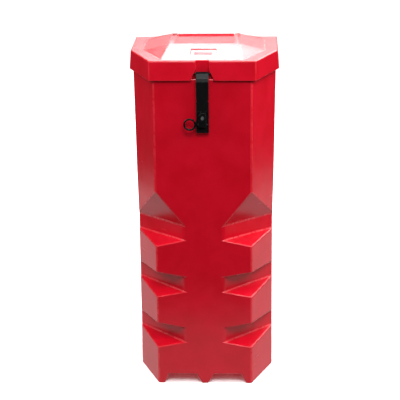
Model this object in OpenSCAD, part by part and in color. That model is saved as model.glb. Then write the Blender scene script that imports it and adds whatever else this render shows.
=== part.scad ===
// Top-loading fire extinguisher box: a moulded six-sided body with notched front corners, a hinged lid
// with a raised panel, and a strap latch that a ring pin seals. +Z is up, the front faces -Y, and the
// origin is on the floor at the centre of the outline. Lengths are in millimetres.

/* [Body] */
// Width across the two flat sides at the floor
side_w = 280; // [276:1:284]
// Width across the two flat sides at the shoulder, under the lid
shoulder_w = 290.8; // [288:0.2:292]
// Width of the front face between its two slanted corner faces
front_w = 195; // [190:1:200]
// Depth of each slanted corner face, from the front face back to the side
corner_d = 104; // [100:1:108]
// Depth from the front face to the back wall
body_d = 246; // [242:1:250]
// Height of the shoulder that the lid's skirt hangs past
shoulder_z = 652; // [646:1:656]
// Wall thickness of the body
wall = 4; // [3:0.5:5]

/* [Notches] */
// Where a notch's wall meets the front face, measured from the middle
notch_x = 40; // [36:1:46]
// How far a notch cuts into the flat side, behind the corner face
notch_bite = 4.5; // [4:0.5:8]
// Height of the lowest notch's floor at its inner edge
notch_floor_z = 93; // [86:1:98]
// Distance from one notch to the next
notch_pitch = 112; // [108:1:114]
// Height of a notch's inner wall
notch_h = 32; // [26:1:36]
// Drop of a notch's floor from its inner edge to the body's corner
floor_drop = 10.5; // [8:0.5:15]
// Rise of the two lower roofs from the inner edge to the body's corner
roof_rise = 11.5; // [6:0.5:14]
// Rise of the top notch's roof, which is a large slanted facet
top_roof_rise = 74; // [60:1:76]

/* [Feet and back] */
// Height of the two channels under the floor, which leave three feet at the front
channel_h = 21; // [16:1:24]
// How far the two mounting rails stand out of the back wall
rail_h = 4; // [3:0.5:5]
// Distance between the mounting holes across the back
mount_dx = 175; // [165:1:185]
// Distance between the mounting holes up the back
mount_dz = 410; // [380:5:430]
// Diameter of the mounting holes, for M8 bolts
mount_hole = 8.5; // [8.4:0.1:9]

/* [Lid] */
// Height of the lid's flat rim above the floor
lid_z = 688; // [686:0.5:689]
// Height of the lid's skirt
skirt_h = 39; // [37:0.5:39]
// How far the skirt's lower edge stands out from its upper edge, at the front and the sides
skirt_flare = 3.5; // [3:0.5:4]
// How far it stands out at the slanted corners
corner_flare = 1.4; // [1:0.2:2]
// Height of the raised panel's ridge above the rim
ridge_h = 8; // [7:0.5:9]
// Wall thickness of the skirt
skirt_wall = 3; // [2.5:0.5:3]
// Thickness of the lid's top
lid_wall = 3.5; // [3:0.5:4]

/* [Latch] */
// Width of the strap
strap_w = 25; // [23:0.5:25.5]
// Thickness of the strap
strap_t = 3.5; // [3:0.5:4]
// Height of the strap's lower end above the floor
strap_end_z = 545; // [540:1:550]
// Outer diameter of the pin's pull ring
ring_d = 25.5; // [24:0.5:26]

/* [Hidden] */
$fn = 48;
far = 400;
red = [0.80, 0.06, 0.11];
black = [0.09, 0.09, 0.10];
rubber = [0.14, 0.14, 0.15];
foam = [0.22, 0.22, 0.23];
steel = [0.72, 0.73, 0.75];

// Depth layout: the latch block's face and the rails' faces are the outline's front and back.
latch_reach = 17;
front_y = latch_reach - (latch_reach + body_d + rail_h) / 2;
back_y = front_y + body_d;
rail_y = back_y + rail_h;

// Corner faces: the direction that they face, and their distance from the vertical axis.
corner_dx = (side_w - front_w) / 2;
corner_azimuth = -atan2(corner_dx, corner_d);
corner_dist = front_w / 2 * cos(corner_azimuth) + front_y * sin(corner_azimuth);
body_sides = [[side_w / 2, 0], [side_w / 2 - 0.6, 330], [side_w / 2 + 2, 425], [shoulder_w / 2, shoulder_z]];

// Neck: the narrower rim that the lid closes over.
neck_z = 678;
neck_front = -front_y - 12;
neck_corner = corner_dist - 6;
neck_side = side_w / 2 + 0.5;
neck_back = back_y - 18;

// Notches: flat walls from the front face to the side, whose edges drop a little towards the side.
notch_azimuth = -atan2(side_w / 2 - notch_x, corner_d + notch_bite);
notch_dist = notch_x * cos(notch_azimuth) + front_y * sin(notch_azimuth);
notch_start = -notch_x * sin(notch_azimuth) + front_y * cos(notch_azimuth);
notch_depth = (front_w / 2 - notch_x) * cos(notch_azimuth);
notch_zs = [for (i = [0:2]) notch_floor_z + i * notch_pitch];
notch_rises = [roof_rise, roof_rise, top_roof_rise];
notch_tilts = [-1, -1, -3];

// Feet: half widths of the middle foot, and the places of the corner feet's inner sides.
mid_foot = [6.5, 18];
corner_foot = [85, 76];
floor_z = channel_h + wall;

// Hinge at the top of the back.
hinge_r = 8;
hinge_y = back_y - hinge_r;
hinge_z = lid_z;
hinge_pin_r = 3;
running = 0.05;
tight = 0.01;
barrel_x = 59.5;
ear_in = 60.5;
ear_out = 71.5;
pin_end = 75;
cap_r = 5;

// Lid outline: distances of its front, corner and side faces at the rim; the skirt flares below it.
lid_front = -front_y + 1.4;
lid_corner = corner_dist + 7.6;
lid_side = 148.8;
skirt_z = lid_z - skirt_h;
pocket_wall_z = shoulder_z + 1;
panel_front = front_y + 12;
ridge_y = front_y + 132;
panel_corner_x = 81.5;
panel_slope = atan2(ridge_h, ridge_y - panel_front);

// Latch: the pocket in the lid's front, and the pivot that carries the strap.
pocket_x = 13.2;
pocket_back = front_y + 7;
pocket_splay_z = 672;
pocket_splay_k = 0.43;
pivot_y = front_y + 2.5;
pivot_z = 661.8;
pivot_r = 2;
strap_eye_r = 4.2;
pivot_end = 24.6;
strap_back = front_y - 6;
strap_front = strap_back - strap_t;
slot_x = 8.4;
slot_z = [557, 589];

// Keeper: the block on the body that the strap's slot fits over.
keeper_x = 7.2;
keeper_z = [559, 580.3];
keeper_front = front_y - latch_reach;
screw_z = 576.5;
screw_r = 2;
screw_head_r = 3.4;
seal_y = front_y - 13.2;
seal_z = 563.3;
seal_r = 1.7;
ring_x = -25.3;
ring_tube = 2;

// Mounting holes and the plates behind them.
mount_z = 355;
plate_t = 2.5;
plate_w = 210;
plate_h = 40;
rivet_r = 2.4;
rivet_x = 32;
drain_r = 4;
drain_x = 108;
drain_ys = [30, 95];

// A block that ends at a face looking towards azimuth. line lists [distance, height] up that face.
module slab(azimuth, line) {
    last = line[len(line) - 1];
    rotate([0, 0, azimuth]) rotate([90, 0, 0]) translate([0, 0, -far])
        linear_extrude(2 * far) polygon([[-far, line[0][1]], each line, [-far, last[1]]]);
}

// A slab and its mirror image, cut to what they share.
module slab_pair(azimuth, line) {
    intersection() {
        slab(azimuth, line);
        mirror([1, 0, 0]) slab(azimuth, line);
    }
}

// A box from its lowest to its highest corner.
module span(low, high) {
    translate(low) cube(high - low);
}

// A round bar along X.
module bar_x(r, x0, x1, y, z) {
    translate([x0, y, z]) rotate([0, 90, 0]) cylinder(r = r, h = x1 - x0);
}

// A round bar along Y.
module bar_y(r, y0, y1, x, z) {
    translate([x, y0, z]) rotate([-90, 0, 0]) cylinder(r = r, h = y1 - y0);
}

// Both sides of a feature that is drawn on the right.
module both_sides() {
    children();
    mirror([1, 0, 0]) children();
}

// The body's six-sided block, shrunk by t on every side.
module body_block(t, z0, z1) {
    intersection() {
        slab(-90, [[-front_y - t, z0], [-front_y - t, z1]]);
        slab(90, [[back_y - t, z0], [back_y - t, z1]]);
        slab_pair(corner_azimuth, [[corner_dist - t, z0], [corner_dist - t, z1]]);
        slab_pair(0, [for (p = body_sides) [p[0] - t, p[1]]]);
    }
}

// The neck's block, shrunk by t on every side.
module neck_block(t, z0, z1) {
    intersection() {
        slab(-90, [[neck_front - t, z0], [neck_front - t, z1]]);
        slab(90, [[neck_back - t, z0], [neck_back - t, z1]]);
        slab_pair(corner_azimuth, [[neck_corner - t, z0], [neck_corner - t, z1]]);
        slab_pair(0, [[neck_side - t, z0], [neck_side - t, z1]]);
    }
}

// One notch at the right front corner, grown by t. Its floor falls and its roof rises towards the corner.
module notch(z_floor, rise, tilt, t) {
    reach = 60;
    drop_k = floor_drop / notch_depth;
    rise_k = rise / notch_depth;
    below = t * sqrt(1 + drop_k * drop_k);
    above = t * sqrt(1 + rise_k * rise_k);
    rotate([0, 0, notch_azimuth]) translate([0, notch_start, z_floor]) rotate([tilt, 0, 0]) rotate([90, 0, 0])
        translate([0, 0, -far / 2]) linear_extrude(far) polygon([
            [notch_dist - t, -below + drop_k * t],
            [notch_dist + reach, -below - drop_k * reach],
            [notch_dist + reach, notch_h + above + rise_k * reach],
            [notch_dist - t, notch_h + above - rise_k * t]
        ]);
}

// All the notches and the channels between the feet, grown by t.
module body_recesses(t) {
    mid_k = (mid_foot[1] - mid_foot[0]) / channel_h;
    corner_k = (corner_foot[0] - corner_foot[1]) / channel_h;
    mid_t = t * sqrt(1 + mid_k * mid_k);
    corner_t = t * sqrt(1 + corner_k * corner_k);
    top = channel_h + t;
    both_sides() {
        for (i = [0:2]) notch(notch_zs[i], notch_rises[i], notch_tilts[i], t);
        rotate([90, 0, 0]) translate([0, 0, -far / 2]) linear_extrude(far) polygon([
            [mid_foot[0] - mid_k - mid_t, -1],
            [mid_foot[0] + mid_k * top - mid_t, top],
            [corner_foot[0] - corner_k * top + corner_t, top],
            [corner_foot[0] + corner_k + corner_t, -1]
        ]);
    }
}

// The barrel on the body's back that the hinge pin runs through, on a wall and three ribs.
module hinge_barrel() {
    bar_x(hinge_r, -barrel_x, barrel_x, hinge_y, hinge_z);
    span([-barrel_x, back_y - 6, shoulder_z - wall], [barrel_x, back_y, hinge_z]);
    for (x = [-40, 0, 40]) span([x - 2, neck_back - 1, shoulder_z - 1], [x + 2, back_y - 5, neck_z - 4]);
}

// The two rails on the back that the mounting bolts pull against the wall.
module rails() {
    both_sides() span([mount_dx / 2 - 17, back_y - 1, 60], [mount_dx / 2 + 17, rail_y, 640]);
}

module mount_holes(y0, y1) {
    for (x = [-1, 1], z = [-1, 1])
        bar_y(mount_hole / 2, y0, y1, x * mount_dx / 2, mount_z + z * mount_dz / 2);
}

module body_shell() {
    color(red) difference() {
        union() {
            difference() {
                body_block(0, 0, shoulder_z);
                body_recesses(0);
            }
            neck_block(0, shoulder_z - 1, neck_z);
            hinge_barrel();
            rails();
        }
        difference() {
            body_block(wall, wall, shoulder_z - wall);
            body_recesses(wall);
        }
        neck_block(wall, shoulder_z - wall - 1, neck_z + 1);
        bar_x(hinge_pin_r + tight, -barrel_x - 1, barrel_x + 1, hinge_y, hinge_z);
        mount_holes(back_y - wall - 1, rail_y + 1);
        bar_y(screw_r + 0.3, front_y - 1, front_y + wall + 1, 0, screw_z);
        both_sides() for (y = drain_ys) translate([drain_x, y, -1]) cylinder(r = drain_r, h = wall + 2);
        for (x = [-1, 1], z = [-1, 1])
            bar_y(rivet_r + 0.1, back_y - wall - 1, back_y + 1, x * rivet_x, mount_z + z * mount_dz / 2);
    }
}

// A steel plate inside the back wall, which spreads the load of two mounting bolts.
module backing_plate(z) {
    y1 = back_y - wall;
    color(steel) difference() {
        span([-plate_w / 2, y1 - plate_t, z - plate_h / 2], [plate_w / 2, y1, z + plate_h / 2]);
        for (x = [-1, 1]) bar_y(mount_hole / 2, y1 - plate_t - 1, y1 + 1, x * mount_dx / 2, z);
        for (x = [-1, 1]) bar_y(rivet_r + 0.1, y1 - plate_t - 1, y1 + 1, x * rivet_x, z);
    }
}

// Four rivets that hold the two plates to the back wall.
module plate_rivets() {
    y1 = back_y - wall - plate_t;
    color(steel) for (x = [-1, 1], z = [-1, 1]) {
        px = x * rivet_x;
        pz = mount_z + z * mount_dz / 2;
        bar_y(rivet_r, y1 - 1, back_y + 1, px, pz);
        bar_y(rivet_r + 2.2, y1 - 1.6, y1, px, pz);
        bar_y(rivet_r + 2.2, back_y, back_y + 1.4, px, pz);
    }
}

// A rubber mat on the floor. Water runs past its edges to the drain holes in the hollow side feet.
module base_mat() {
    color(rubber) body_block(wall + 4, floor_z, floor_z + 8);
}

// Foam pads on the inner faces of the right-hand notches.
module cradle_pads() {
    pad_t = 6;
    pad_y = [notch_start + 30, notch_start + 114];
    for (z = notch_zs) rotate([0, 0, notch_azimuth])
        span([notch_dist - wall - pad_t, pad_y[0], z - 4], [notch_dist - wall, pad_y[1], z + notch_h - 6]);
}

module cradle_pads_right() {
    color(foam) cradle_pads();
}

module cradle_pads_left() {
    color(foam) mirror([1, 0, 0]) cradle_pads();
}

// Two foam strips down the inside of the back wall, between the two plates.
module back_cushions() {
    y1 = back_y - wall;
    z0 = mount_z - mount_dz / 2 + plate_h / 2 + 8;
    z1 = mount_z + mount_dz / 2 - plate_h / 2 - 8;
    color(foam) both_sides() span([22, y1 - 8, z0], [52, y1, z1]);
}

module hinge_pin() {
    color(steel) bar_x(hinge_pin_r, -pin_end, pin_end, hinge_y, hinge_z);
}

// A push-on cap on the right-hand end of the hinge pin.
module hinge_cap() {
    color(black) difference() {
        union() {
            bar_x(cap_r, ear_out + 0.3, ear_out + 1.8, hinge_y, hinge_z);
            bar_x(cap_r - 0.8, ear_out + 1.8, pin_end + 1.5, hinge_y, hinge_z);
        }
        bar_x(hinge_pin_r + tight, ear_out - 1, pin_end, hinge_y, hinge_z);
    }
}

module hinge_cap_right() {
    hinge_cap();
}

module hinge_cap_left() {
    mirror([1, 0, 0]) hinge_cap();
}

// The block that the strap's slot fits over, on a base plate, with a round top and a hole for the seal pin.
module keeper() {
    color(black) difference() {
        union() {
            span([-10, front_y - 3, 552], [10, front_y, 596]);
            span([-keeper_x, keeper_front, keeper_z[0]], [keeper_x, front_y - 2, keeper_z[1]]);
            bar_y(keeper_x, keeper_front, front_y - 2, 0, keeper_z[1]);
        }
        bar_y(screw_r + 0.2, keeper_front - 1, front_y + 1, 0, screw_z);
        bar_y(screw_head_r + 0.4, keeper_front - 1, keeper_front + 3.4, 0, screw_z);
        bar_x(seal_r + 0.1, -keeper_x - 1, keeper_x + 1, seal_y, seal_z);
    }
}

// A socket-head screw that clamps the keeper to the front wall.
module keeper_screw() {
    color(steel) difference() {
        union() {
            bar_y(screw_head_r, keeper_front + 0.8, keeper_front + 3.4, 0, screw_z);
            bar_y(screw_r, keeper_front + 3, front_y + wall + 6.5, 0, screw_z);
        }
        translate([0, keeper_front, screw_z]) rotate([-90, 0, 0]) cylinder(r = 1.7, h = 2.6, $fn = 6);
    }
}

module keeper_washer() {
    color(steel) difference() {
        bar_y(6, front_y + wall, front_y + wall + 1.4, 0, screw_z);
        bar_y(screw_r + 0.2, front_y + wall - 1, front_y + wall + 3, 0, screw_z);
    }
}

module keeper_nut() {
    y0 = front_y + wall + 1.4;
    color(steel) difference() {
        translate([0, y0, screw_z]) rotate([-90, 0, 0]) cylinder(r = 4, h = 3.2, $fn = 6);
        bar_y(screw_r, y0 - 1, y0 + 6, 0, screw_z);
    }
}

// The lid's flared block, shrunk by t on every side but the back, which ends at y1.
module lid_block(t, z0, z1, y1) {
    over = z1 - lid_z;
    lean = function (d, flare) let (k = flare / skirt_h) [[d - t - k * (z0 - lid_z), z0], [d - t - k * over, z1]];
    intersection() {
        slab(-90, lean(lid_front, skirt_flare));
        slab_pair(corner_azimuth, lean(lid_corner, corner_flare));
        slab_pair(0, lean(lid_side, skirt_flare));
        slab(90, [[y1, z0], [y1, z1]]);
    }
}

// The raised panel: a hipped shape on the lid's rim, with its ridge and flat top towards the hinge.
module raised_panel() {
    side_x = 122.5;
    right = [
        [panel_corner_x, panel_front, 0], [side_x, front_y + 104.6, 0], [side_x, front_y + 216, 0], [107, back_y, 0],
        [ear_out, ridge_y, ridge_h], [ear_out, hinge_y + 2, ridge_h]
    ];
    left = [for (p = right) [-p[0], p[1], p[2]]];
    difference() {
        translate([0, 0, lid_z]) polyhedron(points = [each right, each left], faces = [
            [0, 1, 2, 3, 9, 8, 7, 6], [6, 10, 4, 0], [0, 4, 1], [1, 4, 5, 2], [2, 5, 3],
            [7, 10, 6], [8, 11, 10, 7], [9, 11, 8], [3, 5, 11, 9], [4, 10, 11, 5]
        ]);
        // The middle of the top slopes down towards the hinge.
        translate([-ear_in, 0, lid_z]) rotate([90, 0, 90]) linear_extrude(2 * ear_in) polygon([
            [ridge_y, ridge_h], [hinge_y - 11, ridge_h - 3.5], [back_y + 1, ridge_h - 3.5],
            [back_y + 1, ridge_h + 2], [ridge_y, ridge_h + 2]
        ]);
    }
}

// The outline of the pocket in the lid's front, grown by t, as a block from y0 to y1. It widens downwards.
module pocket(t, y0, y1, z0, z1) {
    x = pocket_x + t;
    splay = x + pocket_splay_k * (pocket_splay_z - z0);
    translate([0, y1, 0]) rotate([90, 0, 0]) linear_extrude(y1 - y0) polygon([
        [-splay, z0], [splay, z0], [x, pocket_splay_z], [x, z1], [-x, z1], [-x, pocket_splay_z]
    ]);
}

// Things placed on the raised panel's sloping front face: y is up the slope, and z is out of it.
module on_panel() {
    translate([0, panel_front, lid_z]) rotate([panel_slope, 0, 0]) children();
}

module ears() {
    both_sides() {
        bar_x(hinge_r, ear_in, ear_out, hinge_y, hinge_z);
        span([ear_in, hinge_y - 12, lid_z - lid_wall], [ear_out, hinge_y, lid_z + ridge_h]);
    }
}

module lid_shell() {
    color(red) difference() {
        union() {
            difference() {
                union() {
                    lid_block(0, skirt_z, lid_z, back_y);
                    raised_panel();
                }
                difference() {
                    lid_block(skirt_wall, skirt_z - 1, lid_z - lid_wall, back_y + 10);
                    pocket(skirt_wall, front_y - 12, pocket_back + skirt_wall, pocket_wall_z, lid_z);
                }
                translate([0, 0, -lid_wall]) raised_panel();
            }
            on_panel() span([-28.5, 34, -5.5], [28.5, 83, -2]);
            ears();
        }
        pocket(0, front_y - 12, pocket_back, skirt_z - 2, lid_z + 2);
        on_panel() span([-25.5, 37, -2.5], [25.5, 80, 4]);
        span([-ear_in, hinge_y - 11, skirt_z], [ear_in, back_y + 2, lid_z + ridge_h + 2]);
        bar_x(hinge_pin_r + running, -ear_out - 1, ear_out + 1, hinge_y, hinge_z);
        bar_x(pivot_r + tight, -pivot_end - 1, pivot_end + 1, pivot_y, pivot_z);
        both_sides() bar_x(cap_r + 0.4, ear_out, pin_end + 2.5, hinge_y, hinge_z);
    }
}

// A foam ring under the lid that closes on the neck's rim.
module lid_gasket() {
    z0 = neck_z + 0.3;
    z1 = lid_z - lid_wall;
    color(foam) difference() {
        neck_block(-1, z0, z1);
        neck_block(7, z0 - 1, z1 + 1);
    }
}

// A foam block under the lid that keeps the extinguisher from jumping.
module lid_hold_down_pad() {
    color(foam) intersection() {
        span([-60, -12, 652], [60, 72, lid_z + ridge_h]);
        union() {
            span([-60, -12, 652], [60, 72, lid_z - lid_wall]);
            translate([0, 0, -lid_wall]) raised_panel();
        }
    }
}

// A blank plate in the lid's recess, with three raised bars and a rim.
module badge_plate() {
    color(red) on_panel() {
        span([-25.2, 37.3, -2.5], [25.2, 79.7, -1.3]);
        for (y = [42, 48, 54]) span([-18, y, -1.4], [18, y + 3, -0.7]);
    }
}

module strap_pivot_pin() {
    color(steel) bar_x(pivot_r, -pivot_end, pivot_end, pivot_y, pivot_z);
}

// A push-on clip inside the lid, on the right-hand end of the strap's pivot pin.
module pivot_clip() {
    color(steel) difference() {
        bar_x(3, pivot_end - 1.9, pivot_end - 0.5, pivot_y, pivot_z);
        bar_x(pivot_r + tight, pivot_end - 3, pivot_end + 1, pivot_y, pivot_z);
    }
}

module pivot_clip_right() {
    pivot_clip();
}

module pivot_clip_left() {
    mirror([1, 0, 0]) pivot_clip();
}

// The strap in side view, as [y, z]: from the eye, over a bend, down to the end.
module strap_side() {
    polygon([
        [pivot_y - 3.6, pivot_z + 2.2], [strap_front + 2.4, 655], [strap_front, 648], [strap_front, strap_end_z],
        [strap_back, strap_end_z], [strap_back, 647], [strap_back + 1.6, 652], [pivot_y + 1.6, pivot_z - 3.9]
    ]);
}

module latch_strap() {
    color(black) difference() {
        union() {
            bar_x(strap_eye_r, -strap_w / 2, strap_w / 2, pivot_y, pivot_z);
            translate([-strap_w / 2, 0, 0]) rotate([90, 0, 90]) linear_extrude(strap_w) strap_side();
        }
        bar_x(pivot_r + running, -strap_w, strap_w, pivot_y, pivot_z);
        span([-slot_x, strap_front - 1, slot_z[0]], [slot_x, strap_back + 1, slot_z[1]]);
        both_sides() bar_y(1.6, strap_front - 1, strap_back + 1, strap_w / 2 + 0.4, 610);
    }
}

// A hard liner moulded into the strap's slot.
module strap_slot_frame() {
    color(black) difference() {
        span([-slot_x, strap_front + 0.3, slot_z[0]], [slot_x, strap_back - 0.3, slot_z[1]]);
        span([-slot_x + 0.8, strap_front - 1, slot_z[0] + 0.8], [slot_x - 0.8, strap_back + 1, slot_z[1] - 0.8]);
    }
}

// The seal pin: a ring and a web that narrows to the shank through the keeper.
module seal_pin() {
    mid_r = ring_d / 2 - ring_tube;
    color(black) {
        translate([ring_x, seal_y, seal_z]) rotate([90, 0, 0]) rotate_extrude($fn = 64)
            translate([mid_r, 0]) circle(r = ring_tube, $fn = 24);
        translate([0, seal_y + 1.2, seal_z]) rotate([90, 0, 0]) linear_extrude(2.4) polygon([
            [ring_x + mid_r - 1.2, -6.5], [-keeper_x - 1.4, -seal_r], [-keeper_x - 1.4, seal_r],
            [ring_x + mid_r - 1.2, 6.5], [ring_x + mid_r + 0.6, 0]
        ]);
        bar_x(seal_r, -keeper_x - 2, keeper_x + 4, seal_y, seal_z);
    }
}

body_shell();
backing_plate(mount_z + mount_dz / 2);  // backing_plate_upper
backing_plate(mount_z - mount_dz / 2);  // backing_plate_lower
plate_rivets();
base_mat();
cradle_pads_left();
cradle_pads_right();
back_cushions();
hinge_pin();
hinge_cap_left();
hinge_cap_right();
keeper();
keeper_screw();
keeper_washer();
keeper_nut();
lid_shell();
lid_gasket();
lid_hold_down_pad();
badge_plate();
strap_pivot_pin();
pivot_clip_left();
pivot_clip_right();
latch_strap();
strap_slot_frame();
seal_pin();
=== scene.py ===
"""Looks for the fire extinguisher box: rounded shells, rubber, foam and steel, in a plain white studio."""
import math

import bmesh
import bpy
from mathutils import Matrix, Vector


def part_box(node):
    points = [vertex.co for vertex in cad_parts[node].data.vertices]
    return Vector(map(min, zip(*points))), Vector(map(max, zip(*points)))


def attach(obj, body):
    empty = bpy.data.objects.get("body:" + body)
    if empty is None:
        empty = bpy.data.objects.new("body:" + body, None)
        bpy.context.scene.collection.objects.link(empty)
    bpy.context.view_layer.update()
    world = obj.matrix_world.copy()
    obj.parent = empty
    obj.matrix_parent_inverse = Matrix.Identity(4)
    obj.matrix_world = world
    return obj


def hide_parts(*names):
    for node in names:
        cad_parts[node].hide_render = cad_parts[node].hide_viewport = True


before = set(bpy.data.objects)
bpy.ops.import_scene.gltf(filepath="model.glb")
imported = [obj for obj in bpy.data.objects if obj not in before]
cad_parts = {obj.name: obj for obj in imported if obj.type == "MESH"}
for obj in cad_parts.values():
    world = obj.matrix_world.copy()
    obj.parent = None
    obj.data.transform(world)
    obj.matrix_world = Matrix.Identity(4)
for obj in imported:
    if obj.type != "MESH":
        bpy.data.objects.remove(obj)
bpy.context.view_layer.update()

MM = 0.001
WELD = 2e-6                 # vertices closer than this are one
FLAT = math.radians(0.6)    # faces that meet at less than this are one flat face
CORNER = math.radians(14)   # faces that meet at more than this make an edge to round
SLIGHT = math.radians(1.5)  # the least fold of the lid's panel that is softened

# Places on the object, from the CAD nodes' boxes.
body_low, body_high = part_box("body_shell")
lid_low, lid_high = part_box("lid_shell")
pin_low, pin_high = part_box("hinge_pin")
FRONT_Y = body_low.y
BACK_Y = lid_high.y
HINGE_Y = (pin_low.y + pin_high.y) / 2
RIM_Z = (pin_low.z + pin_high.z) / 2
NECK_Z = RIM_Z - 10 * MM
SHOULDER_Z = RIM_Z - 36 * MM


# ---------------------------------------------------------------- materials

def add(nodes, kind, **inputs):
    """A new shader node with some of its inputs set by name."""
    node = nodes.new(kind)
    for name, value in inputs.items():
        node.inputs[name].default_value = value
    return node


class Paint:
    """A procedural material. Each method adds one layer and returns the socket that carries it."""

    def __init__(self, name):
        self.material = bpy.data.materials.new(name)
        self.material.use_nodes = True
        self.nodes = self.material.node_tree.nodes
        self.links = self.material.node_tree.links
        self.shader = self.nodes["Principled BSDF"]
        self.place = self.nodes.new("ShaderNodeTexCoord").outputs["Object"]

    def link(self, a, b):
        self.links.new(a, b)

    def stretched(self, scale, turn=(0, 0, 0)):
        """The object's coordinates turned, then scaled, for streaks."""
        mapping = self.nodes.new("ShaderNodeMapping")
        mapping.inputs["Scale"].default_value = scale
        mapping.inputs["Rotation"].default_value = turn
        self.link(self.place, mapping.inputs["Vector"])
        return mapping.outputs["Vector"]

    def noise(self, size, detail=3.0, place=None):
        """Noise whose lumps are about size metres across."""
        node = add(self.nodes, "ShaderNodeTexNoise", Scale=1 / size, Detail=detail, Roughness=0.55)
        self.link(place or self.place, node.inputs["Vector"])
        return node.outputs["Fac"]

    def cells(self, size):
        """The distance from the middle of cells about size metres across."""
        node = add(self.nodes, "ShaderNodeTexVoronoi", Scale=1 / size)
        self.link(self.place, node.inputs["Vector"])
        return node.outputs["Distance"]

    def ramp(self, value, low, high, to_low=0.0, to_high=1.0):
        """value taken from [low, high] to [to_low, to_high], and held at the ends."""
        node = add(self.nodes, "ShaderNodeMapRange")
        for key, number in zip(("From Min", "From Max", "To Min", "To Max"), (low, high, to_low, to_high)):
            node.inputs[key].default_value = number
        self.link(value, node.inputs["Value"])
        return node.outputs["Result"]

    def math(self, operation, a, b):
        """A sum or product of a and b, each a number or a socket."""
        node = self.nodes.new("ShaderNodeMath")
        node.operation = operation
        for socket, value in zip(node.inputs, (a, b)):
            if isinstance(value, (int, float)):
                socket.default_value = value
            else:
                self.link(value, socket)
        return node.outputs["Value"]

    def mix(self, share, a, b):
        """Colour a turning to colour b as share goes from 0 to 1. Each is a value or a socket."""
        node = self.nodes.new("ShaderNodeMix")
        node.data_type = "RGBA"
        for socket, value in ((node.inputs[0], share), (node.inputs[6], a), (node.inputs[7], b)):
            if isinstance(value, (int, float)):
                socket.default_value = value
            elif isinstance(value, tuple):
                socket.default_value = (*value, 1.0)
            else:
                self.link(value, socket)
        return node.outputs[2]

    def edges(self):
        """1 on the rounded convex edges that rounded() marks, fading to 0 on the faces beside them. It is the
        mask of rubbed edges, and on the red plastic also of a painted edge highlight.
        """
        node = self.nodes.new("ShaderNodeAttribute")
        node.attribute_name = "rubbed_and_highlit_edge"
        return node.outputs["Fac"]

    def bumps(self, *layers):
        """Layers of (height socket, depth in metres), chained into the shader's normal."""
        normal = None
        for height, depth in layers:
            node = add(self.nodes, "ShaderNodeBump", Strength=1.0, Distance=depth)
            self.link(height, node.inputs["Height"])
            if normal:
                self.link(normal, node.inputs["Normal"])
            normal = node.outputs["Normal"]
        self.link(normal, self.shader.inputs["Normal"])

    def finish(self, colour, roughness, **constants):
        """Sets the shader's colour and roughness, and constants by name, and returns the material."""
        for socket, value in (("Base Color", colour), ("Roughness", roughness)):
            if isinstance(value, tuple):
                self.shader.inputs[socket].default_value = (*value, 1.0)
            elif isinstance(value, (int, float)):
                self.shader.inputs[socket].default_value = value
            else:
                self.link(value, self.shader.inputs[socket])
        for name, value in constants.items():
            self.shader.inputs[name.replace("_", " ")].default_value = value
        return self.material


RED_DEEP = (0.56, 0.0015, 0.012)
RED_BRIGHT = (0.64, 0.0035, 0.019)
RED_SPECK = (0.70, 0.012, 0.03)
# Pale red for the rounded edges: partly rubbed plastic, partly a painted highlight.
RED_RUBBED_AND_HIGHLIGHT = (0.86, 0.09, 0.10)
BLACK = (0.0035, 0.0034, 0.0035)
GREY = (0.030, 0.030, 0.032)
MAT_BLACK = (0.020, 0.020, 0.021)
MAT_GREY = (0.07, 0.07, 0.07)


def moulded_red(name, shift=0.0):
    """Rotationally moulded polyethylene: satin, faintly mottled, with fine scuffs and pale edges that are
    partly rubbed and partly a painted highlight.
    shift changes the roughness."""
    paint = Paint(name)
    mottle = paint.noise(0.045, detail=4)
    speck = paint.noise(0.0011, detail=2)
    scuff_place = paint.stretched((9, 9, 260), (0.35, 0.5, 0.2))
    scuffs = paint.ramp(paint.noise(1.0, detail=2, place=scuff_place), 0.68, 0.8)
    patches = paint.ramp(paint.noise(0.16), 0.45, 0.75)
    scuffs = paint.math("MULTIPLY", scuffs, patches)
    tone = paint.mix(paint.ramp(mottle, 0.3, 0.7), RED_DEEP, RED_BRIGHT)
    tone = paint.mix(paint.ramp(speck, 0.62, 0.8, 0.0, 0.35), tone, RED_SPECK)
    chips = paint.ramp(paint.noise(0.02, detail=3), 0.36, 0.62, 0.5, 1.0)
    # Painted edge highlight mixed with rubbing: the rounded convex edges, broken up by chips, turn towards
    # the pale red.
    rubbed_and_highlit = paint.math("MULTIPLY", paint.edges(), chips)
    tone = paint.mix(paint.math("MULTIPLY", rubbed_and_highlit, 0.22), tone, RED_RUBBED_AND_HIGHLIGHT)
    rough = paint.ramp(paint.noise(0.022, detail=5), 0.25, 0.75, 0.20 + shift, 0.27 + shift)
    rough = paint.math("ADD", rough, paint.math("MULTIPLY", scuffs, 0.12))
    rough = paint.math("ADD", rough, paint.math("MULTIPLY", rubbed_and_highlit, 0.06))
    paint.bumps(
        (paint.noise(0.075, detail=1), 0.0012),
        (paint.noise(0.009, detail=2), 0.00006),
        (paint.noise(0.0013, detail=2), 0.000035),
        (scuffs, 0.00003),
    )
    return paint.finish(tone, rough, IOR=1.5, Specular_IOR_Level=0.5)


def moulded_black(name, base, rubbed_and_highlit, rough_low, rough_high, grain, grain_depth):
    """Moulded rubber or nylon, with a fine grain, dusty patches and lighter rubbed edges. worn is the
    colour of the rubbed edges, and grain is the size of the grain in metres."""
    paint = Paint(name)
    dust = paint.ramp(paint.noise(0.018, detail=5), 0.4, 0.8, 0.0, 0.5)
    tone = paint.mix(dust, base, tuple(1.9 * c for c in base))
    chips = paint.ramp(paint.noise(0.004, detail=3), 0.35, 0.65, 0.2, 0.9)
    rubbed = paint.math("MULTIPLY", paint.edges(), chips)
    tone = paint.mix(rubbed, tone, rubbed_and_highlit)
    rough = paint.ramp(paint.noise(0.009, detail=4), 0.3, 0.7, rough_low, rough_high)
    paint.bumps((paint.noise(0.012, detail=2), 0.00008), (paint.noise(grain, detail=2), grain_depth))
    return paint.finish(tone, rough, IOR=1.5, Specular_IOR_Level=0.18)


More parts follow.
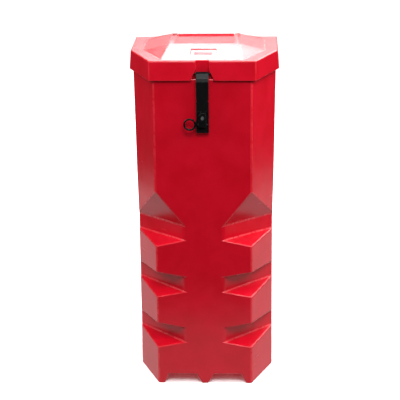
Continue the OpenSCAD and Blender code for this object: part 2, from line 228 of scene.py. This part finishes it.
def plated_steel(name, shade):
    """Plated steel: mottled grey, brushed along X, with dull patches. shade is 1 for zinc and less for
    black."""
    paint = Paint(name)
    patches = paint.noise(0.006, detail=5)
    dull = (0.50 * shade, 0.51 * shade, 0.52 * shade)
    bright = (0.66 * shade, 0.66 * shade, 0.64 * shade)
    tone = paint.mix(paint.ramp(patches, 0.3, 0.7), dull, bright)
    rubbed = paint.math("MULTIPLY", paint.edges(), 0.7)
    tone = paint.mix(rubbed, tone, (0.78 * shade, 0.78 * shade, 0.77 * shade))
    brushed = paint.noise(1.0, detail=3, place=paint.stretched((40, 2600, 2600)))
    rough = paint.ramp(patches, 0.3, 0.7, 0.24, 0.42)
    rough = paint.math("ADD", rough, paint.math("MULTIPLY", brushed, 0.06))
    paint.bumps((brushed, 0.00001), (patches, 0.00003))
    return paint.finish(tone, rough, Metallic=1.0)


def closed_cell_foam(name):
    """Dark EVA foam: fine open pores on a softly lumpy surface."""
    paint = Paint(name)
    pores = paint.ramp(paint.cells(0.0016), 0.1, 0.55)
    lumps = paint.noise(0.014, detail=4)
    tone = paint.mix(paint.ramp(lumps, 0.3, 0.7), (0.030, 0.030, 0.034), (0.060, 0.060, 0.066))
    tone = paint.mix(paint.ramp(pores, 0.0, 1.0, 0.5, 0.0), tone, (0.014, 0.014, 0.016))
    rough = paint.ramp(lumps, 0.3, 0.7, 0.82, 0.94)
    paint.bumps((lumps, 0.0004), (pores, 0.0002), (paint.noise(0.0007), 0.00008))
    return paint.finish(tone, rough, Specular_IOR_Level=0.3)


def backdrop_white(name):
    """The studio's matt white floor, with a faint paper grain."""
    paint = Paint(name)
    grain = paint.noise(0.003, detail=3)
    tone = paint.mix(paint.ramp(grain, 0.3, 0.7), (0.93, 0.925, 0.925), (0.95, 0.945, 0.945))
    paint.bumps((grain, 0.00004))
    return paint.finish(tone, paint.ramp(grain, 0.3, 0.7, 0.55, 0.7), Specular_IOR_Level=0.3)


def glowing_white(name, radiance):
    """A card that is as bright as a lit white table, with a faint mottle."""
    paint = Paint(name)
    mottle = paint.mix(paint.ramp(paint.noise(0.3), 0.3, 0.7), (0.94, 0.94, 0.94), (1.0, 1.0, 1.0))
    paint.link(mottle, paint.shader.inputs["Emission Color"])
    return paint.finish((0, 0, 0), 1.0, Emission_Strength=radiance, Specular_IOR_Level=0.0)


red_plastic = moulded_red("red_polyethylene")
red_smooth = moulded_red("red_polyethylene_smooth", shift=-0.03)
strap_rubber = moulded_black("strap_rubber", BLACK, GREY, 0.34, 0.48, 0.0009, 0.00003)
nylon = moulded_black("black_nylon", BLACK, GREY, 0.26, 0.38, 0.0006, 0.00002)
mat_rubber = moulded_black("mat_rubber", MAT_BLACK, MAT_GREY, 0.62, 0.85, 0.0012, 0.00006)
steel = plated_steel("zinc_steel", 1.0)
black_steel = plated_steel("black_steel", 0.03)
foam = closed_cell_foam("eva_foam")


# ---------------------------------------------------------------- mesh tools

def to_object(name, mesh, material):
    """A new object in the scene with that one material."""
    mesh.name = name
    mesh.materials.clear()
    mesh.materials.append(material)
    obj = bpy.data.objects.new(name, mesh)
    bpy.context.scene.collection.objects.link(obj)
    return obj


def keep_flats_flat(obj, crease=math.radians(38)):
    """Smooth shading that leaves the large faces flat and the creases sharp."""
    obj.data.shade_smooth()
    obj.data.set_sharp_from_angle(angle=crease)
    weighted = obj.modifiers.new("flat_faces", "WEIGHTED_NORMAL")
    weighted.keep_sharp = True
    weighted.weight = 90


def apply_modifiers(obj):
    """Applies the object's modifiers to its mesh."""
    graph = bpy.context.evaluated_depsgraph_get()
    mesh = bpy.data.meshes.new_from_object(obj.evaluated_get(graph), depsgraph=graph)
    obj.modifiers.clear()
    obj.data = mesh


def mark_rubbed_and_highlit_edges(mesh):
    """Writes the attribute of the rounded convex edges, which marks rubbed edges and, on the red plastic, a
    painted highlight:
    1 inside each rounded convex edge, 0 elsewhere. The bevel marks the faces that it makes with material 1,
    and afterwards all are material 0."""
    bm = bmesh.new()
    bm.from_mesh(mesh)
    rubbed_and_highlit_edge = bm.verts.layers.float.new("rubbed_and_highlit_edge")
    for vert in bm.verts:
        if not vert.link_faces or any(face.material_index == 0 for face in vert.link_faces):
            continue
        around = sum((edge.other_vert(vert).co for edge in vert.link_edges), Vector()) / len(vert.link_edges)
        if (vert.co - around).dot(vert.normal) > 0:
            vert[rubbed_and_highlit_edge] = 1.0
    for face in bm.faces:
        face.material_index = 0
    bm.to_mesh(mesh)
    bm.free()


def rounded(name, node, radius_of, material, segments=4):
    """A copy of a CAD node with its flat faces joined and its edges rounded. radius_of is the radius of every
    edge in metres, or a function of the edge; an edge whose radius is 0 stays sharp."""
    bm = bmesh.new()
    bm.from_mesh(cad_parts[node].data)
    bmesh.ops.remove_doubles(bm, verts=bm.verts, dist=WELD)
    bmesh.ops.dissolve_limit(bm, angle_limit=FLAT, verts=bm.verts, edges=bm.edges)
    bm.normal_update()
    weight = bm.edges.layers.float.new("bevel_weight_edge")
    if not callable(radius_of):
        radius = radius_of
        radius_of = lambda edge: radius if edge.calc_face_angle(0) > CORNER else 0
    radii = {edge: radius_of(edge) for edge in bm.edges if len(edge.link_faces) == 2}
    widest = max(radii.values())
    for edge, radius in radii.items():
        edge[weight] = radius / widest
    mesh = bpy.data.meshes.new(name)
    bm.to_mesh(mesh)
    bm.free()
    obj = to_object(name, mesh, material)
    mesh.materials.append(material)
    bevel = obj.modifiers.new("round", "BEVEL")
    bevel.limit_method = "WEIGHT"
    bevel.offset_type = "OFFSET"
    bevel.width = widest
    bevel.segments = segments
    bevel.use_clamp_overlap = False
    bevel.material = 1
    apply_modifiers(obj)
    mark_rubbed_and_highlit_edges(obj.data)
    obj.data.materials.clear()
    obj.data.materials.append(material)
    keep_flats_flat(obj)
    return obj


def middle(edge):
    return (edge.verts[0].co + edge.verts[1].co) / 2


def stand_for(obj, body_name, slot, *nodes):
    """Puts the piece in place of CAD nodes, on a body. The slot argument is not used."""
    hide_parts(*nodes)
    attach(obj, body_name)


# ---------------------------------------------------------------- the moulded shells

TINY_EDGE = 1 * MM      # shorter edges are facets of a curve
SHORT_EDGE = 3 * MM     # shorter edges have no room for a round
HAIR_R = 0.2 * MM
RIM_R = 0.9 * MM
FRONT_BAND = 2 * MM     # edges this close to the front face are its own
NOTCH_MOUTH_X = 60 * MM  # the notches' upright ends in the front face are inside this


def body_radius(edge):
    """Rounds the body: most on its upright corners, and less on thin rims, the hinge and the holes."""
    if edge.calc_face_angle(0) < CORNER:
        return 0
    at = middle(edge)
    length = edge.calc_length()
    if length < TINY_EDGE:
        return HAIR_R
    at_hinge = at.z > SHOULDER_Z + 2 * MM and at.y > BACK_Y - 20 * MM
    if at.z > NECK_Z - 1 * MM or at_hinge:
        return RIM_R
    if length < SHORT_EDGE:
        return 0
    along = (edge.verts[1].co - edge.verts[0].co).normalized()
    if abs(along.z) > 0.9 and at.z < SHOULDER_Z:
        if at.y > FRONT_Y + FRONT_BAND:
            return 2.2 * MM
        return 7 * MM if abs(at.x) < NOTCH_MOUTH_X else 4 * MM
    return 2.4 * MM if edge.is_convex else 3.4 * MM


def at_ear(vert):
    """Whether the vertex is on one of the lid's two hinge ears."""
    return vert.co.y > HINGE_Y - 20 * MM and 58 * MM < abs(vert.co.x) < 75 * MM


def lid_radius(edge):
    """Rounds the lid: its rim and corners most, then its lower edge, the strap's channel and the plate's
    recess. The hinge ears stay sharp, because rounding them throws stray points."""
    angle = edge.calc_face_angle(0)
    at = middle(edge)
    length = edge.calc_length()
    if angle < CORNER:
        on_panel = at.z > RIM_Z - 0.5 * MM and abs(at.x) < 124 * MM and length > 12 * MM
        return 2 * MM if on_panel and angle > SLIGHT else 0
    if length < TINY_EDGE:
        return HAIR_R
    if length < SHORT_EDGE or at_ear(edge.verts[0]) or at_ear(edge.verts[1]):
        return 0
    if at.z < lid_low.z + 1 * MM or at.y > HINGE_Y - 16 * MM:
        return RIM_R
    in_channel = abs(at.x) < 22 * MM and at.y < FRONT_Y + 9 * MM
    if in_channel:
        return RIM_R if edge.is_convex else HAIR_R
    in_recess = abs(at.x) < 30 * MM and at.z > RIM_Z - 4 * MM and at.y > FRONT_Y + 40 * MM
    if in_recess:
        return 0.5 * MM
    rise = abs(edge.verts[1].co.z - edge.verts[0].co.z)
    if at.z < RIM_Z - 3 * MM and rise < 10 * MM:
        return 1.2 * MM
    return 2.4 * MM


body = rounded("body_moulding", "body_shell", body_radius, red_plastic)
stand_for(body, "body", "box_plastic", "body_shell")
lid = rounded("lid_moulding", "lid_shell", lid_radius, red_plastic)
stand_for(lid, "lid", "box_plastic", "lid_shell")


# ---------------------------------------------------------------- hard pieces

# Each row: the CAD node, the piece's body, its material slot, its material and the radius of its edges in mm.
HARD_PIECES = [
    ("latch_strap", "latch", "black_rubber", strap_rubber, 0.9),
    ("strap_slot_frame", "latch", "black_nylon", nylon, 0.2),
    ("keeper", "body", "black_nylon", nylon, 0.7),
    ("keeper_screw", "body", "steel", steel, 0.25),
    ("keeper_washer", "body", "steel", steel, 0.2),
    ("keeper_nut", "body", "steel", steel, 0.3),
    ("seal_pin", "seal", "black_nylon", nylon, 0.35),
    ("hinge_pin", "body", "steel", steel, 0.5),
    ("hinge_cap_left", "body", "black_nylon", nylon, 0.4),
    ("hinge_cap_right", "body", "black_nylon", nylon, 0.4),
    ("strap_pivot_pin", "lid", "steel", black_steel, 0.4),
    ("pivot_clip_left", "lid", "steel", black_steel, 0.25),
    ("pivot_clip_right", "lid", "steel", black_steel, 0.25),
    ("badge_plate", "lid", "badge_plastic", red_smooth, 0.3),
    ("backing_plate_upper", "body", "steel", steel, 0.5),
    ("backing_plate_lower", "body", "steel", steel, 0.5),
]
for node, rides_on, slot, material, radius in HARD_PIECES:
    piece = rounded(node + "_finished", node, radius * MM, material, segments=3)
    stand_for(piece, rides_on, slot, node)


def lathed(bm, profile, centre, axis, steps=40):
    """Turns a profile of (distance from the axis, place along it) round the axis through centre."""
    turn = Vector(axis).to_track_quat("Z", "Y")
    rings = []
    for radius, along in profile:
        if radius == 0:
            rings.append([bm.verts.new(centre + turn @ Vector((0, 0, along)))])
            continue
        angles = [2 * math.pi * k / steps for k in range(steps)]
        ring = [Vector((radius * math.cos(a), radius * math.sin(a), along)) for a in angles]
        rings.append([bm.verts.new(centre + turn @ place) for place in ring])
    for ring, after in zip(rings, rings[1:]):
        for k in range(steps):
            n = (k + 1) % steps
            corners = [ring[k % len(ring)], ring[n % len(ring)], after[n % len(after)], after[k % len(after)]]
            bm.faces.new(list(dict.fromkeys(corners)))


def finished(bm, name, material):
    """The bmesh as a smooth-shaded piece with its faces turned outwards."""
    bmesh.ops.recalc_face_normals(bm, faces=bm.faces)
    mesh = bpy.data.meshes.new(name)
    bm.to_mesh(mesh)
    bm.free()
    obj = to_object(name, mesh, material)
    keep_flats_flat(obj)
    return obj


def dome(radius, height, base, outward):
    """Profile of a shallow rivet head that stands on base and rises outward (1 or -1) along the axis."""
    bend = [math.radians(15 * k) for k in range(6)]
    side = [(radius * math.cos(a), base + outward * height * math.sin(a)) for a in bend]
    return side + [(0, base + outward * height)]


# Domed rivets through the back wall and the two plates.
HEAD_R = 4.6 * MM
SHANK_R = 2.4 * MM
INNER_HEAD_H = 1.6 * MM
OUTER_HEAD_H = 1.4 * MM
rivet_low, rivet_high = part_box("plate_rivets")
inner_seat = rivet_low.y + INNER_HEAD_H
outer_seat = rivet_high.y - OUTER_HEAD_H
inner_head = dome(HEAD_R, INNER_HEAD_H, inner_seat, -1)
outer_head = dome(HEAD_R, OUTER_HEAD_H, outer_seat, 1)
shank = [(SHANK_R, inner_seat), (SHANK_R, outer_seat)]
rivets = bmesh.new()
for x in (rivet_low.x + HEAD_R, rivet_high.x - HEAD_R):
    for z in (rivet_low.z + HEAD_R, rivet_high.z - HEAD_R):
        lathed(rivets, inner_head[::-1] + shank + outer_head, Vector((x, 0, z)), (0, 1, 0))
stand_for(finished(rivets, "plate_rivets_finished", steel), "body", "steel", "plate_rivets")


# ---------------------------------------------------------------- foam and rubber

def stations(half, radius, spacing=6 * MM):
    """Places from -half to half: close together on the rounded ends, and about spacing apart between them."""
    flat = half - radius
    bend = [flat + radius * math.tan(math.radians(15 * k)) for k in (1, 2, 3)]
    count = max(2, round(2 * flat / spacing))
    between = [flat * (2 * k / count - 1) for k in range(count + 1)]
    return [-b for b in reversed(bend)] + between + bend


def foam_block(bm, centre, sides, radius, crown):
    """A rounded block of foam. sides are its three half sides as vectors, and the last one points to the face
    that bulges by crown: that face's edges are lower by as much, so the block stays inside the box."""
    half = [side.length for side in sides]
    places = [stations(h, radius) for h in half]
    last = [len(p) - 1 for p in places]
    verts = {}

    def vert(key):
        if key not in verts:
            at = [places[axis][key[axis]] for axis in range(3)]
            core = [max(radius - h, min(h - radius, c)) for h, c in zip(half, at)]
            bend = Vector(at) - Vector(core)
            if bend.length > radius:
                bend *= radius / bend.length
            at = Vector(core) + bend
            if at.z > 0:
                u, v = at.x / half[0], at.y / half[1]
                at.z -= crown * (1 - (1 - u ** 4) * (1 - v ** 4))
            place = centre + sum((side.normalized() * c for side, c in zip(sides, at)), Vector())
            verts[key] = bm.verts.new(place)
        return verts[key]

    for axis in range(3):
        u, v = [a for a in range(3) if a != axis]
        for end in (0, last[axis]):
            for i in range(last[u]):
                for j in range(last[v]):
                    corners = []
                    for di, dj in ((0, 0), (1, 0), (1, 1), (0, 1)):
                        key = [0, 0, 0]
                        key[axis], key[u], key[v] = end, i + di, j + dj
                        corners.append(vert(tuple(key)))
                    bm.faces.new(corners)


def boxes_of(node):
    """Each separate block of a CAD node as its centre and its three half sides, longest first."""
    bm = bmesh.new()
    bm.from_mesh(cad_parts[node].data)
    bmesh.ops.remove_doubles(bm, verts=bm.verts, dist=WELD)
    bmesh.ops.dissolve_limit(bm, angle_limit=FLAT, verts=bm.verts, edges=bm.edges)
    waiting = set(bm.verts)
    found = []
    while waiting:
        group = {waiting.pop()}
        edge_of = list(group)
        while edge_of:
            new = [e.other_vert(v) for v in edge_of for e in v.link_edges]
            edge_of = [v for v in dict.fromkeys(new) if v not in group]
            group.update(edge_of)
        waiting -= group
        corner = min(group, key=lambda v: (round(v.co.z, 5), round(v.co.y, 5), round(v.co.x, 5)))
        sides = [(e.other_vert(corner).co - corner.co) / 2 for e in corner.link_edges]
        centre = sum((v.co for v in group), Vector()) / len(group)
        found.append((centre, sorted(sides, key=lambda s: -s.length)))
    bm.free()
    return sorted(found, key=lambda block: block[0].z)


def foam_pads(node, radius, crown, towards):
    """Foam blocks in place of a CAD node on the body. towards(centre) is the way in which they bulge."""
    bm = bmesh.new()
    for centre, sides in boxes_of(node):
        thin = sides[2] if sides[2].dot(towards(centre)) > 0 else -sides[2]
        foam_block(bm, centre, (sides[0], sides[1], thin), radius, crown)
    pads = finished(bm, node + "_foam", foam)
    stand_for(pads, "body", "foam", node)


def inwards(centre):
    return Vector((-centre.x, -centre.y, 0))


def forwards(centre):
    return Vector((0, -1, 0))


foam_pads("cradle_pads_left", 2 * MM, 1.2 * MM, inwards)
foam_pads("cradle_pads_right", 2 * MM, 1.2 * MM, inwards)
foam_pads("back_cushions", 2.5 * MM, 1.5 * MM, forwards)

# The block under the lid: its crown faces down, and its top stays under the lid's sloping panel.
UNDER_PANEL = 3.8 * MM
hold_low, hold_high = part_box("lid_hold_down_pad")
hold_half = (hold_high - hold_low) / 2
hold_half.z = (RIM_Z - UNDER_PANEL - hold_low.z) / 2
hold_centre = Vector((0, (hold_low.y + hold_high.y) / 2, hold_low.z + hold_half.z))
hold_sides = (Vector((hold_half.x, 0, 0)), Vector((0, hold_half.y, 0)), Vector((0, 0, -hold_half.z)))
hold_bm = bmesh.new()
foam_block(hold_bm, hold_centre, hold_sides, 5 * MM, 3 * MM)
hold_down = finished(hold_bm, "lid_hold_down_foam", foam)
stand_for(hold_down, "lid", "foam", "lid_hold_down_pad")

gasket = rounded("lid_gasket_foam", "lid_gasket", 1.8 * MM, foam)
stand_for(gasket, "lid", "foam", "lid_gasket")


def outline_of(node):
    """The corners of a CAD node's flat top, in order round it."""
    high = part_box(node)[1].z
    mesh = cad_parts[node].data
    corners = {(round(v.co.x, 5), round(v.co.y, 5)) for v in mesh.vertices if v.co.z > high - 0.1 * MM}
    return sorted(corners, key=lambda c: math.atan2(c[1], c[0]))


def width_at(outline, y):
    """Half the width of an outline that is the same on both sides, at one y."""
    widest = 0
    for (x0, y0), (x1, y1) in zip(outline, outline[1:] + outline[:1]):
        if y0 != y1 and min(y0, y1) <= y <= max(y0, y1):
            widest = max(widest, abs(x0 + (x1 - x0) * (y - y0) / (y1 - y0)))
    return widest


# The rubber mat: a rounded sheet with half-round ribs across it.
RIB_H = 2 * MM
RIB_W = 5 * MM
RIB_PITCH = 11 * MM
RIB_SINK = 0.05 * MM    # how far a rib reaches into the sheet
RIB_END = 2 * MM        # how long its tapered end is
RIB_TAPER = 0.3         # the size of the end's tip, as a share of the rib
RIB_MARGIN = 5 * MM     # from the rib's end to the mat's side
MAT_EDGE_R = 1.5 * MM
MAT_MARGIN = 12 * MM    # bare mat at the front and back together
mat_low, mat_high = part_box("base_mat")
mat_outline = outline_of("base_mat")
sheet_top = mat_high.z - RIB_H


def mat_sheet(bm):
    lower = [bm.verts.new((x, y, mat_low.z)) for x, y in mat_outline]
    upper = [bm.verts.new((x, y, sheet_top)) for x, y in mat_outline]
    bm.faces.new(lower[::-1])
    bm.faces.new(upper)
    for k in range(len(lower)):
        n = (k + 1) % len(lower)
        bm.faces.new((lower[k], lower[n], upper[n], upper[k]))
    bmesh.ops.bevel(bm, geom=bm.edges[:], offset=MAT_EDGE_R, segments=3, profile=0.5, affect="EDGES")


def mat_rib(bm, y):
    """A half-round rib across the mat at y, with tapered ends."""
    narrowest = min(width_at(mat_outline, y - RIB_W / 2), width_at(mat_outline, y + RIB_W / 2))
    reach = narrowest - RIB_MARGIN
    bend = [math.pi * i / 8 for i in range(9)]
    rings = []
    for x, size in ((-reach, RIB_TAPER), (-reach + RIB_END, 1), (reach - RIB_END, 1), (reach, RIB_TAPER)):
        arch = [(size * RIB_W / 2 * math.cos(a), size * RIB_H * math.sin(a)) for a in bend]
        rings.append([bm.verts.new((x, y + across, sheet_top + up - RIB_SINK)) for across, up in arch])
    for ring, after in zip(rings, rings[1:]):
        for i in range(len(ring)):
            n = (i + 1) % len(ring)
            bm.faces.new((ring[i], ring[n], after[n], after[i]))
    bm.faces.new(rings[0])
    bm.faces.new(rings[-1])


mat_bm = bmesh.new()
mat_sheet(mat_bm)
rib_count = int((mat_high.y - mat_low.y - MAT_MARGIN) / RIB_PITCH)
rib_start = (mat_low.y + mat_high.y - rib_count * RIB_PITCH) / 2
for k in range(rib_count + 1):
    mat_rib(mat_bm, rib_start + k * RIB_PITCH)
stand_for(finished(mat_bm, "base_mat_ribbed", mat_rubber), "body", "mat_rubber", "base_mat")


# ---------------------------------------------------------------- studio

def studio_disc(name, centre, radius, material):
    """A round sheet on the ground, which is part of the studio and not of the object."""
    bm = bmesh.new()
    lathed(bm, [(0, 0), (radius, 0)], Vector((*centre, 0)), (0, 0, 1), steps=96)
    bmesh.ops.recalc_face_normals(bm, faces=bm.faces)
    mesh = bpy.data.meshes.new(name)
    bm.to_mesh(mesh)
    bm.free()
    disc = to_object(name, mesh, material)
    return disc


# The floor is seen by the camera alone. What the object reflects, and what lights it from below, is a card
# just under the floor, as large as a white table in a dark room.
floor = studio_disc("studio_floor", (0, 0), 9, backdrop_white("studio_white"))
floor.visible_glossy = False
floor.visible_diffuse = False
floor.visible_shadow = False
card = studio_disc("studio_card", (0.05, 0.6), 1.1, glowing_white("studio_card_white", 0.6))
card.location.z = -1 * MM
card.visible_camera = False
card.visible_shadow = False


def softbox(name, at, size, radiance, target=(0, 0, 0.35)):
    """A white area light that faces a point on the object. radiance is how bright its surface is."""
    data = bpy.data.lights.new(name, "AREA")
    data.shape = "RECTANGLE"
    data.size, data.size_y = size
    data.energy = radiance * math.pi * size[0] * size[1]
    obj = bpy.data.objects.new(name, data)
    obj.location = at
    obj.rotation_euler = (Vector(target) - Vector(at)).to_track_quat("-Z", "Y").to_euler()
    bpy.context.scene.collection.objects.link(obj)
    obj.visible_camera = False
    return obj


softbox("left_side", at=(-1.6, -0.25, 1.7), size=(1.0, 1.0), radiance=9.8)
softbox("right_side", at=(1.6, -0.25, 1.7), size=(1.0, 1.0), radiance=12.2)
softbox("front_top", at=(0.3, -2.0, 2.5), size=(1.5, 1.0), radiance=13.0)
softbox("overhead", at=(0, 0.6, 4.6), size=(7.0, 7.0), radiance=0.3, target=(0, 0.6, 0))
softbox("behind_high", at=(0.66, 1.9, 1.85), size=(2.26, 0.8), radiance=9.0, target=(0, 0, 0.7))
softbox("behind_low", at=(0.9, 2.5, 1.25), size=(4.0, 0.6), radiance=1.15, target=(0, 0, 0.7))

# One light is for the floor alone, which keeps it white without washing out the object.
floor_light = softbox("floor_light", at=(0, 0, 4.8), size=(26.0, 26.0), radiance=1.15, target=(0, 0, 0))
lit_floor = bpy.data.collections.new("lit_floor")
lit_floor.objects.link(floor)
floor_light.light_linking.receiver_collection = lit_floor

world = bpy.data.worlds.new("studio")
bpy.context.scene.world = world
world.use_nodes = True
world_nodes = world.node_tree.nodes
world_links = world.node_tree.links
world_nodes["Background"].inputs["Color"].default_value = (1, 1, 1, 1)
ray = world_nodes.new("ShaderNodeLightPath").outputs


def joined(operation, value, other):
    """A math node in the world. other is a number or a socket."""
    node = world_nodes.new("ShaderNodeMath")
    node.operation = operation
    world_links.new(value, node.inputs[0])
    if isinstance(other, float):
        node.inputs[1].default_value = other
    else:
        world_links.new(other, node.inputs[1])
    return node.outputs["Value"]


# The room is white behind the object, dim where it lights the object, and dark in its gloss.
ROOM_LIGHT = 0.08
ROOM_GLOSS = 0.03
room = joined("MAXIMUM", joined("MULTIPLY", ray["Is Diffuse Ray"], ROOM_LIGHT), ROOM_GLOSS)
room = joined("MAXIMUM", room, ray["Is Camera Ray"])
world_links.new(room, world_nodes["Background"].inputs["Strength"])

scene = bpy.context.scene
scene.view_settings.view_transform = "Standard"

camera_data = bpy.data.cameras.new("camera")
camera_data.lens = 125.9
camera_data.sensor_width = 36
camera = bpy.data.objects.new("camera", camera_data)
camera.location = (0.1061, FRONT_Y - 2.6768, 1.2618)
YAW = math.radians(2.42)
PITCH = math.radians(-17.763)
ROLL = math.radians(-0.63)
tilt = Matrix.Rotation(math.pi / 2 + PITCH, 3, "X")
camera.rotation_euler = (Matrix.Rotation(YAW, 3, "Z") @ tilt @ Matrix.Rotation(ROLL, 3, "Z")).to_euler()
scene.collection.objects.link(camera)
scene.camera = camera
